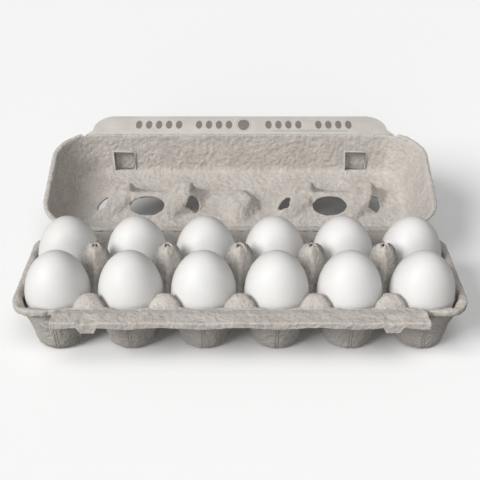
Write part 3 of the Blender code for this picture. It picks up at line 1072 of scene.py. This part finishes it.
    def wall_point(self, share: float, raised: float) -> tuple[float, float, float]:
        """One point of the wall's inner section.

        Args:
            share: 0 at the panel's edge, 1 at the rim.
            raised: How far the rim is lifted here.

        Returns:
            Reach across as a share of the full reach, for the ends and for the sides, and the drop.
        """
        fillet = self.fillet_share
        top_x, top_y = self.fillet_x, self.fillet_y
        at_x = top_x + (1.0 - top_x) * self.fillet_drop / self.depth
        at_y = top_y + (1.0 - top_y) * self.fillet_drop / self.depth
        if share < fillet:
            part = share / fillet
            middle = 2.0 * part * (1.0 - part)
            end = part * part
            return middle * top_x + end * at_x, middle * top_y + end * at_y, end * self.fillet_drop
        part = (share - fillet) / (1.0 - fillet)
        drop = self.fillet_drop + (self.depth - raised - self.fillet_drop) * part
        slide = drop / self.depth
        return top_x + (1.0 - top_x) * slide, top_y + (1.0 - top_y) * slide, drop

    def raised_at(self, seat: Vector, way: Vector) -> float:
        """How far the rim is lifted at a seat, to clear the lock flap when shut."""
        if way.y > -FACING:
            return 0.0
        start = self.front_half_x - self.front_fade_in
        fade = step(start, self.front_half_x + self.front_fade_out, abs(seat.x))
        return self.front_raise * (1.0 - fade)

    def wall_ring(self, share: float) -> Placing:
        """Placing rule for one ring of the walls."""
        def place(seat: Vector) -> tuple[Vector, Vector]:
            """Both faces' places on the wall outward of a seat."""
            way = self.panel.outward(seat.x, seat.y)
            raised = self.raised_at(seat, way)
            spots = []
            for near in (share - self.slope_reach, share, share + self.slope_reach):
                at_x, at_y, drop = self.wall_point(min(1.0, max(0.0, near)), raised)
                spots.append(Vector((seat.x + way.x * at_x * self.reach_x,
                                     seat.y + way.y * at_y * self.reach_y,
                                     self.rim_z + self.depth - drop)))
            run = spots[2] - spots[0]
            side = run.cross(Vector((-way.y, way.x, 0.0))).normalized()
            if side.z < 0.0:
                side.negate()
            return spots[1], spots[1] + side * self.sheet

        return place

    def rim_ring(self, out: float, drop: float, under_out: float, under_drop: float) -> Placing:
        """Placing rule for one ring of the flange.

        Args:
            out: Share of the flange's width from the wall.
            drop: Height above the rim's lowest level.
            under_out: The same for the partner.
            under_drop: The same for the partner.

        Returns:
            The placing rule.
        """
        def place(seat: Vector) -> tuple[Vector, Vector]:
            """Both faces' places on the flange outward of a seat."""
            way = self.panel.outward(seat.x, seat.y)
            raised = self.raised_at(seat, way)
            at_x, at_y, fall = self.wall_point(1.0, raised)
            wide_y = self.flange_y + (self.hinge_strip if way.y > FACING else 0.0)
            level = self.rim_z + self.depth - fall
            both = []
            for share, lift in ((out, drop), (under_out, under_drop)):
                both.append(Vector((seat.x + way.x * (at_x * self.reach_x + share * self.flange_x),
                                    seat.y + way.y * (at_y * self.reach_y + share * wide_y),
                                    level + lift)))
            return both[0], both[1]

        return place

    def cutters(self) -> bmesh.types.BMesh:
        """Shapes that cut the boss ovals and the latch windows.

        Returns:
            The closed shapes together.
        """
        tools = bmesh.new()
        level = self.rim_z + self.depth - self.oval_depth
        end_level = self.rim_z + self.depth - self.end_oval_depth
        near_slope = math.atan2(self.saddle_depth, self.saddle_near_run)
        oval_y = self.boss_half_y - self.saddle_near_run * self.oval_depth / self.saddle_depth
        slope = math.atan2(self.peak_depth, self.peak_side_run)
        for side in (-1, 1):
            self._add_oval(tools, Vector((side * self.boss_x - self.oval_shift, oval_y, level)),
                           Matrix.Rotation(near_slope, 4, "X"),
                           Vector((self.oval_half_x, self.oval_half_run, self.oval_length)))
            for end in (-1, 1):
                x = side * self.boss_x + end * self.end_oval_x - self.peak_slant * self.end_oval_y
                self._add_oval(tools, Vector((x, self.end_oval_y, end_level)),
                               Matrix.Rotation(-end * slope, 4, "Y"),
                               Vector((self.end_oval_half_run, self.end_oval_half_y, self.end_oval_length)))
            self._add_window(tools, side)
        return tools

    def _add_window(self, tools: bmesh.types.BMesh, side: int) -> None:
        """Add the box that cuts one latch window.

        Args:
            tools: The mesh to add to.
            side: -1 for the left window, 1 for the right.
        """
        made = bmesh.ops.create_cube(tools, size=1.0)
        bmesh.ops.scale(tools, verts=made["verts"], vec=(
            2 * self.window_half, self.window_cut, self.window_high_z - self.window_low_z))
        bmesh.ops.translate(tools, verts=made["verts"], vec=(
            side * self.window_x, self.window_cut_y, (self.window_high_z + self.window_low_z) / 2))

    def _add_oval(self, tools: bmesh.types.BMesh, centre: Vector, spin: Matrix, sizes: Vector) -> None:
        """Add an elliptic cylinder with a slightly uneven edge.

        Args:
            tools: The mesh to add to.
            centre: Its middle.
            spin: Turn from +Z to its own line.
            sizes: Its half sizes across its line and its length along it.
        """
        made = bmesh.ops.create_cone(tools, cap_ends=True, segments=40, radius1=1.0, radius2=1.0, depth=1.0)
        for vert in made["verts"]:
            uneven = 1.0 + 0.06 * noise.noise(vert.co * 2.0 + centre * 90.0)
            sized = Vector((vert.co.x * sizes.x, vert.co.y * sizes.y, vert.co.z * sizes.z))
            vert.co = centre + spin @ sized * uneven

    def shell(self) -> bmesh.types.BMesh:
        """The shut lid as one closed sheet with its holes.

        Returns:
            The shape.
        """
        sheet = Sheet()
        count_x = round(2 * self.panel.half_x / self.cell)
        count_y = round(2 * self.panel.half_y / self.cell)
        sheet.grid(count_x, count_y, self.panel_patch)
        for ring in range(1, self.wall_rings + 1):
            sheet.extend(self.wall_ring(self.wall_end * ring / self.wall_rings))
        full = self.sheet
        for ring in ((0.0, 0.0, 0.5, full), (0.45, 0.0, 0.7, full), (0.85, 0.05 * MM, 0.9, full - 0.1 * MM),
                     (1.0, 0.5 * MM, 1.0, full - 0.5 * MM)):
            sheet.extend(self.rim_ring(*ring))
        mesh = cut(sheet.close(), self.cutters())
        self.rough.apply(mesh)
        return mesh

    def window_plate(self, side: int, margin: float, out: float, thick: float) -> bmesh.types.BMesh:
        """A plate in line with the front wall, about one latch window.

        Args:
            side: -1 for the left window, 1 for the right.
            margin: How far it reaches beyond the window on each side.
            out: Its middle's distance outwards from the wall's inner face.
            thick: Its thickness.

        Returns:
            The shape, shut.
        """
        height = self.window_high_z - self.window_low_z
        drop = self.rim_z + self.depth - (self.window_high_z + self.window_low_z) / 2
        below = (drop - self.fillet_drop) / (self.depth - self.fillet_drop)
        _, at_y, _ = self.wall_point(self.fillet_share + (1.0 - self.fillet_share) * below, 0.0)
        mesh = bmesh.new()
        bmesh.ops.create_cube(mesh, size=1.0)
        bmesh.ops.scale(mesh, verts=mesh.verts[:], vec=(
            2 * (self.window_half + margin), thick, height / math.cos(self.wall_slope) + 2 * margin))
        bmesh.ops.translate(mesh, verts=mesh.verts[:], vec=(0.0, -out, 0.0))
        bmesh.ops.rotate(mesh, verts=mesh.verts[:], cent=(0.0, 0.0, 0.0),
                         matrix=Matrix.Rotation(-self.wall_slope, 3, "X"))
        bmesh.ops.translate(mesh, verts=mesh.verts[:], vec=(
            side * self.window_x, -(self.panel.half_y + at_y * self.reach_y), self.rim_z + self.depth - drop))
        return mesh

    def refine(self, mesh: bmesh.types.BMesh, cuts: int) -> None:
        """Split a small shape finely and round its edges, then roughen it."""
        bmesh.ops.bevel(mesh, geom=mesh.edges[:], offset=0.3 * MM, segments=2, profile=0.5,
                        affect="EDGES", material=-1)
        bmesh.ops.subdivide_edges(mesh, edges=mesh.edges[:], cuts=cuts, use_grid_fill=True)
        Roughening(coarse_rise=0.25 * MM).apply(mesh)

    def build_windows(self, stance: Stance, finish: bpy.types.Material) -> None:
        """Build the raised collar and the back of each latch window.

        Args:
            stance: How the lid stands.
            finish: Their material.
        """
        for side, name in ((-1, "left"), (1, "right")):
            tool = bmesh.new()
            self._add_window(tool, side)
            collar = cut(self.window_plate(side, *self.collar), tool)
            back = self.window_plate(side, *self.back)
            self.refine(back, 6)
            for part, mesh in (("collar", collar), ("back", back)):
                stance.open_out(mesh)
                Piece(f"latch_{part}_{name}", Body.LID, Slot.PULP).place(mesh, finish)

    def build(self, stance: Stance, finish: bpy.types.Material) -> None:
        """Build and dress the lid.

        Args:
            stance: How the lid stands.
            finish: Its material.
        """
        mesh = self.shell()
        stance.open_out(mesh)
        Piece("lid_pulp", Body.LID, Slot.PULP, ("lid",)).place(mesh, finish)


@dataclass(frozen=True)
class FrontStrip:
    """The smooth printed strip that stands out of the lid's front rim."""

    rear_y: float = -52.6 * MM
    front_y: float = -75.2 * MM
    rear_half_x: float = 127.0 * MM
    front_half_x: float = 121.5 * MM
    corner: float = 17.0 * MM
    low_z: float = 41.6 * MM
    sheet: float = 1.3 * MM
    print_y: float = -64.5 * MM
    corner_steps: int = 12
    edge_round: float = 0.45 * MM
    sharp_angle: float = 1.2

    def build(self, stance: Stance, finish: bpy.types.Material) -> None:
        """Build and dress the strip.

        Args:
            stance: How the lid stands.
            finish: Its material.
        """
        mesh = bmesh.new()
        spots = [Vector((-self.rear_half_x, self.rear_y, self.low_z))]
        for turn in range(self.corner_steps + 1):
            bend = math.pi + math.pi / 2 * turn / self.corner_steps
            spots.append(Vector((-self.front_half_x + self.corner * (1 + math.cos(bend)),
                                 self.front_y + self.corner * (1 + math.sin(bend)), self.low_z)))
        spots += [Vector((-spot.x, spot.y, spot.z)) for spot in reversed(spots)]
        sole = mesh.faces.new([mesh.verts.new(spot) for spot in spots])
        grown = bmesh.ops.extrude_face_region(mesh, geom=[sole], use_keep_orig=True)
        lifted = [item for item in grown["geom"] if isinstance(item, bmesh.types.BMVert)]
        bmesh.ops.translate(mesh, verts=lifted, vec=(0.0, 0.0, self.sheet))
        bmesh.ops.recalc_face_normals(mesh, faces=mesh.faces[:])
        sharp = [edge for edge in mesh.edges if edge.calc_face_angle(0.0) > self.sharp_angle]
        bmesh.ops.bevel(mesh, geom=sharp, offset=self.edge_round, segments=3, profile=0.5,
                        affect="EDGES", material=-1)
        printed = mesh.loops.layers.uv.new("print")
        for face in mesh.faces:
            for loop in face.loops:
                loop[printed].uv = (loop.vert.co.x, self.print_y - loop.vert.co.y)
        stance.open_out(mesh)
        made = Piece("lid_front_strip", Body.LID, Slot.PULP).place(mesh, finish)
        made.data.shade_smooth()
        made.data.set_sharp_from_angle(angle=math.radians(40))


@dataclass(frozen=True)
class LockFlap:
    """The flap along the front rim, with its scalloped lip and two buttons."""

    half_x: float = 119.3 * MM
    near_y: float = -49.15 * MM
    far_y: float = -64.75 * MM
    top_z: float = 40.6 * MM
    sheet: float = 1.5 * MM
    hem_z: float = 36.7 * MM
    scallop: float = 1.5 * MM
    crease_drop: float = 1.3 * MM
    ear_rise: float = 0.6 * MM
    splay: float = 0.012
    pitch: float = 48.6 * MM
    button_x: float = 96.0 * MM
    button_base: float = 12.7 * MM
    button_tip: float = 8.6 * MM
    button_z: float = 32.3 * MM
    recess: float = 1.0 * MM
    bend: float = 1.3 * MM
    bend_start: float = 0.55
    bend_end: float = 0.72
    ear_near: float = 4.0 * MM
    ear_far: float = 1.5 * MM
    plate_swell: float = 0.5 * MM
    rough: Roughening = Roughening(7.5 * MM, 0.42 * MM, 2.6 * MM, 0.24 * MM)
    crease_y: float = -48.8 * MM
    crease_z: float = 38.4 * MM
    count_x: int = 330
    count_y: int = 30

    def button(self, x: float) -> float:
        """One over a button's tip, falling to nothing at its base's edges."""
        away = min(abs(x - self.button_x), abs(x + self.button_x))
        side = (self.button_base - self.button_tip) / 2
        return 1.0 - min(1.0, max(0.0, (away - self.button_tip / 2) / side))

    def patch(self, across: float, along: float) -> tuple[Vector, Vector, Vector]:
        """Both faces' places for one vertex: over the plate, then down the lip."""
        share = (along + 1.0) / 2.0
        x = across * self.half_x * (1.0 - self.splay + self.splay * min(1.0, share / 0.6))
        ear = self.ear_rise * step(self.half_x - self.ear_near, self.half_x - self.ear_far, abs(x))
        ear *= step(0.62, 0.5, share)
        swell = 0.5 + 0.5 * math.cos(math.tau * (x / self.pitch - 0.5))
        button = self.button(x)
        hem = self.hem_z - self.scallop * swell
        hem += (self.button_z - hem) * button
        bend = self.bend
        plate = self.near_y - self.far_y - bend
        rest = Vector((x, 0.0, 0.0))
        if share < self.bend_start:
            y = self.near_y - plate * share / self.bend_start
            sink = self.recess * button * step(0.25, 0.45, share)
            crease = self.crease_drop * (1.0 - step(0.0, 0.22, share))
            z = self.top_z - self.plate_swell * swell * step(0.1, 0.5, share) - sink - crease + ear
            return Vector((x, y, z)), Vector((x, y, z + sink - self.sheet)), rest
        edge_z = self.top_z - self.plate_swell * swell - self.recess * button
        if share < self.bend_end:
            turn = math.pi / 2 * (share - self.bend_start) / (self.bend_end - self.bend_start)
            y = self.far_y + bend * (1.0 - math.sin(turn))
            z = edge_z - bend * (1.0 - math.cos(turn))
            inner = Vector((x, max(y, self.far_y + self.sheet), self.top_z - self.sheet))
            return Vector((x, y, z)), inner, rest
        part = (share - self.bend_end) / (1.0 - self.bend_end)
        z = edge_z - bend + (hem - (edge_z - bend)) * part
        inner_z = self.top_z - self.sheet + (hem - (self.top_z - self.sheet)) * part
        return Vector((x, self.far_y, z)), Vector((x, self.far_y + self.sheet, inner_z)), rest

    def build(self, stance: Stance, finish: bpy.types.Material) -> None:
        """Build and dress the flap.

        Args:
            stance: Where the tray stands.
            finish: Its material.
        """
        sheet = Sheet()
        sheet.grid(self.count_x, self.count_y, self.patch)
        mesh = sheet.close()
        self.rough.apply(mesh)
        stance.settle(mesh)
        Piece("lock_flap_pulp", Body.FLAP, Slot.PULP, ("lock_flap",)).place(mesh, finish)


@dataclass(frozen=True)
class Crease:
    """The pressed line along which the pulp bends."""

    name: str
    centre: Vector
    half_x: float
    radius: float = 0.9 * MM
    cuts: int = 150

    def build(self, stance: Stance, finish: bpy.types.Material) -> None:
        """Build and dress the crease.

        Args:
            stance: Where the tray stands.
            finish: Its material.
        """
        mesh = bmesh.new()
        bmesh.ops.create_cone(mesh, cap_ends=True, segments=12, radius1=self.radius, radius2=self.radius,
                              depth=2 * self.half_x, matrix=Matrix.Rotation(math.pi / 2, 4, "Y"))
        long = [edge for edge in mesh.edges if edge.calc_length() > self.half_x]
        bmesh.ops.subdivide_edges(mesh, edges=long, cuts=self.cuts)
        bmesh.ops.translate(mesh, verts=mesh.verts[:], vec=self.centre)
        Roughening(coarse_rise=0.16 * MM).apply(mesh)
        stance.settle(mesh)
        Piece(self.name, Body.TRAY, Slot.PULP).place(mesh, finish)


@dataclass(frozen=True)
class Egg:
    """One white egg standing blunt end down in its cup."""

    row: str
    number: int
    place: Vector
    radius: float = 21.75 * MM
    half_length: float = 28.35 * MM
    centre_z: float = 38.2 * MM
    taper: float = 0.07
    girth_spread: float = 0.012
    dent: float = 0.004
    lean: float = math.radians(1.2)

    def build(self, finish: bpy.types.Material) -> None:
        """Build and dress the egg.

        Args:
            finish: Its material.
        """
        mesh = bmesh.new()
        bmesh.ops.create_uvsphere(mesh, u_segments=72, v_segments=48, radius=1.0)
        seed = Vector((self.number * 3.7, len(self.row) * 5.1, 0.0))
        slim = 1.0 - self.girth_spread * abs(noise.noise(seed))
        for vert in mesh.verts:
            girth = self.radius * slim * (1.0 - self.taper * vert.co.z)
            girth *= 1.0 - self.dent * abs(noise.noise(vert.co * 1.3 + seed))
            vert.co = Vector((vert.co.x * girth, vert.co.y * girth, vert.co.z * self.half_length))
        lean = Matrix.Rotation(self.lean * noise.noise(seed * 1.7), 3, "Y")
        bmesh.ops.rotate(mesh, verts=mesh.verts[:], cent=(0.0, 0.0, 0.0), matrix=lean)
        bmesh.ops.translate(mesh, verts=mesh.verts[:], vec=self.place + Vector((0.0, 0.0, self.centre_z)))
        node = f"egg_{self.row}_{self.number}"
        Piece(f"{node}_shell", Body.TRAY, Slot.SHELL, (node,)).place(mesh, finish)


# --------------------------------------------------------------------------- studio


@dataclass(frozen=True)
class Studio:
    """Pale floor, soft light from the upper left, and the camera."""

    elevation: float = math.radians(30.1)
    distance: float = 625.0 * MM
    sight_drop: float = 54.2 * MM
    sensor: float = 36.0
    focal: float = 66.225
    key_strength: float = 2.75
    key_softness: float = math.radians(30.0)
    key_way: Vector = Vector((-0.67, -0.50, 0.55))
    fill_strength: float = 1.05
    fill_softness: float = math.radians(40.0)
    fill_way: Vector = Vector((0.10, -0.42, 0.90))
    front_strength: float = 0.95
    front_softness: float = math.radians(30.0)
    front_way: Vector = Vector((-0.12, -0.98, 0.12))
    sky: float = 0.13
    sky_colour: Colour = (1.0, 0.995, 0.985, 1.0)
    floor_colour: Colour = (0.99, 0.99, 0.99, 1.0)
    floor_half: float = 6.0
    floor_drop: float = 0.2 * MM

    def camera(self, shift: Vector) -> None:
        """Place the camera in front of the carton, looking down on it."""
        data = bpy.data.cameras.new("view")
        data.lens = self.focal
        data.sensor_width = self.sensor
        data.clip_start = 0.01
        rig = bpy.data.objects.new("view", data)
        back = self.distance * math.cos(self.elevation) - self.sight_drop * math.sin(self.elevation)
        up = self.distance * math.sin(self.elevation) + self.sight_drop * math.cos(self.elevation)
        rig.location = shift + Vector((0.0, -back, up))
        rig.rotation_euler = (math.pi / 2 - self.elevation, 0.0, 0.0)
        bpy.context.collection.objects.link(rig)
        bpy.context.scene.camera = rig

    def floor(self) -> None:
        """Lay the floor under the cups."""
        mesh = bmesh.new()
        bmesh.ops.create_grid(mesh, x_segments=1, y_segments=1, size=self.floor_half)
        data = bpy.data.meshes.new("floor")
        mesh.to_mesh(data)
        mesh.free()
        recipe = Recipe("floor_white", {"Base Color": self.floor_colour, "Roughness": 0.8})
        data.materials.append(recipe.material)
        floor = bpy.data.objects.new("floor", data)
        floor.location = (0.0, 0.0, -self.floor_drop)
        floor.visible_diffuse = False
        bpy.context.collection.objects.link(floor)

    def light(self, name: str, way: Vector, softness: float, strength: float) -> None:
        """Hang one broad soft light far away.

        Args:
            name: Its name.
            way: Direction from the carton to it.
            softness: How wide it looks from the carton.
            strength: Its strength.
        """
        data = bpy.data.lights.new(name, "SUN")
        data.angle = softness
        data.energy = strength
        lamp = bpy.data.objects.new(name, data)
        lamp.rotation_euler = (-way).to_track_quat("-Z", "Y").to_euler()
        bpy.context.collection.objects.link(lamp)

    def build(self, shift: Vector) -> None:
        """Set up floor, light, sky and camera."""
        scene = bpy.context.scene
        world = bpy.data.worlds.new("studio")
        world.use_nodes = True
        sky = world.node_tree.nodes["Background"]
        sky.inputs["Color"].default_value = self.sky_colour
        sky.inputs["Strength"].default_value = self.sky
        scene.world = world
        scene.view_settings.view_transform = "Standard"
        self.floor()
        self.light("key", self.key_way, self.key_softness, self.key_strength)
        self.light("fill", self.fill_way, self.fill_softness, self.fill_strength)
        self.light("front", self.front_way, self.front_softness, self.front_strength)
        self.camera(shift)


def main() -> None:
    """Build the carton, its eggs and the studio, and report each piece."""
    logging.basicConfig(level=logging.INFO, format="%(message)s")
    lid_hinge = joint("lid_hinge")
    tray = Tray()
    hinge = Vector((0.0, tray.hinge_y, tray.hinge_z))
    shift = Vector(lid_hinge["pos_m"]) - hinge
    stance = Stance(hinge, math.radians(lid_hinge["range_deg"][1]), shift)
    pulp = PulpFinish("pulp_rough").make()
    tray_pulp = PulpFinish("pulp_tray", seams=True).make()
    printed = PrintFinish("pulp_printed").make()
    shell = ShellFinish("egg_shell_white").make()
    tray.build(stance, tray_pulp)
    lid = Lid()
    lid.build(stance, pulp)
    lid.build_windows(stance, pulp)
    FrontStrip().build(stance, printed)
    flap = LockFlap()
    flap.build(stance, pulp)
    Crease("crease_rear", hinge, REAR_CREASE_HALF).build(stance, pulp)
    front = Vector((0.0, flap.crease_y, flap.crease_z))
    Crease("crease_front", front, FRONT_CREASE_HALF).build(stance, pulp)
    for row, name in enumerate(("front", "rear")):
        for column in range(tray.columns):
            x = (column - (tray.columns - 1) / 2) * tray.pitch_x * tray.egg_lean
            y = (row - (tray.rows - 1) / 2) * tray.pitch_y
            Egg(name, column + 1, shift + Vector((x, y, 0.0))).build(shell)
    Studio().build(shift)


if __name__ == "__main__":
    main()
